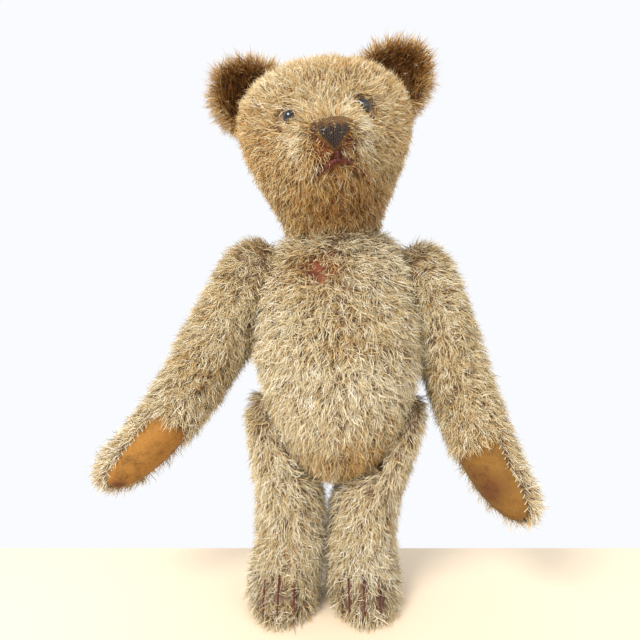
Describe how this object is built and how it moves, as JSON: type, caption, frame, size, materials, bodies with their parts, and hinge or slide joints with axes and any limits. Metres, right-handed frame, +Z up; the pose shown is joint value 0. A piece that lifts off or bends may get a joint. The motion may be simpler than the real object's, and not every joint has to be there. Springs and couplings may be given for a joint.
{
  "type": "jointed teddy bear",
  "caption": "Standing stuffed plush bear with a turning head and swinging arms and legs on internal disc joints.",
  "frame": {"origin": "centre of the bear's box in plan, on the surface that its soles stand on", "axes": "+Z up, -Y the way the bear faces, +X towards the bear's left"},
  "size_m": [0.2278, 0.1048, 0.3098],
  "materials": {
    "mohair": "worn woven mohair plush, tan cream pile on a brown back",
    "ear_mohair": "brown mohair plush",
    "wood_wool": "packed wood wool",
    "felt": "ochre wool felt, stained",
    "hardboard": "pressed fibreboard",
    "card": "plain card",
    "steel": "plain steel wire and sheet",
    "eye_glass": "dark blown glass",
    "nose_thread": "dark brown stitched twist",
    "rust_thread": "red-brown cotton twist"
  },
  "bodies": {
    "torso": {"body_cover_left": "mohair", "body_cover_right": "mohair", "body_stuffing": "wood_wool", "neck_body_disc": "hardboard", "neck_body_washer": "steel", "left_shoulder_body_disc": "hardboard", "left_shoulder_body_washer": "steel", "right_shoulder_body_disc": "hardboard", "right_shoulder_body_washer": "steel", "left_hip_body_disc": "hardboard", "left_hip_body_washer": "steel", "right_hip_body_disc": "hardboard", "right_hip_body_washer": "steel"},
    "head": {"head_gusset": "mohair", "head_cover_left": "mohair", "head_cover_right": "mohair", "head_stuffing": "wood_wool", "neck_head_disc": "hardboard", "neck_head_washer": "steel", "neck_pin": "steel", "left_ear": "ear_mohair", "right_ear": "ear_mohair", "left_eye": "eye_glass", "right_eye": "eye_glass", "eye_wires": "steel", "nose_stitching": "nose_thread", "mouth_stitching": "rust_thread"},
    "left_arm": {"left_arm_cover": "mohair", "left_paw_pad": "felt", "left_arm_stuffing": "wood_wool", "left_arm_disc": "hardboard", "left_arm_washer": "steel", "left_shoulder_pin": "steel"},
    "right_arm": {"right_arm_cover": "mohair", "right_paw_pad": "felt", "right_arm_stuffing": "wood_wool", "right_arm_disc": "hardboard", "right_arm_washer": "steel", "right_shoulder_pin": "steel"},
    "left_leg": {"left_leg_cover": "mohair", "left_foot_pad": "felt", "left_insole": "card", "left_leg_stuffing": "wood_wool", "left_leg_disc": "hardboard", "left_leg_washer": "steel", "left_hip_pin": "steel", "left_claws": "rust_thread"},
    "right_leg": {"right_leg_cover": "mohair", "right_foot_pad": "felt", "right_insole": "card", "right_leg_stuffing": "wood_wool", "right_leg_disc": "hardboard", "right_leg_washer": "steel", "right_hip_pin": "steel", "right_claws": "rust_thread"}
  },
  "joints": [
    {"name": "head_turn", "type": "hinge", "parent": "torso", "child": "head", "pos_m": [0.00886, 0.00977, 0.1975], "axis": [-0.0785, 0, 0.9969], "continuous": true},
    {"name": "left_arm_swing", "type": "hinge", "parent": "torso", "child": "left_arm", "pos_m": [0.04716, 0.00977, 0.174], "axis": [0.9563, 0, 0.2924], "range_deg": [-110, 110]},
    {"name": "right_arm_swing", "type": "hinge", "parent": "torso", "child": "right_arm", "pos_m": [-0.02544, 0.00977, 0.174], "axis": [-0.9272, 0, 0.3746], "range_deg": [-110, 110]},
    {"name": "left_leg_swing", "type": "hinge", "parent": "torso", "child": "left_leg", "pos_m": [0.04086, 0.00977, 0.092], "axis": [0.9397, 0, -0.342], "range_deg": [-90, 60]},
    {"name": "right_leg_swing", "type": "hinge", "parent": "torso", "child": "right_leg", "pos_m": [-0.01914, 0.00977, 0.092], "axis": [-0.9613, 0, -0.2756], "range_deg": [-60, 90]}
  ]
}
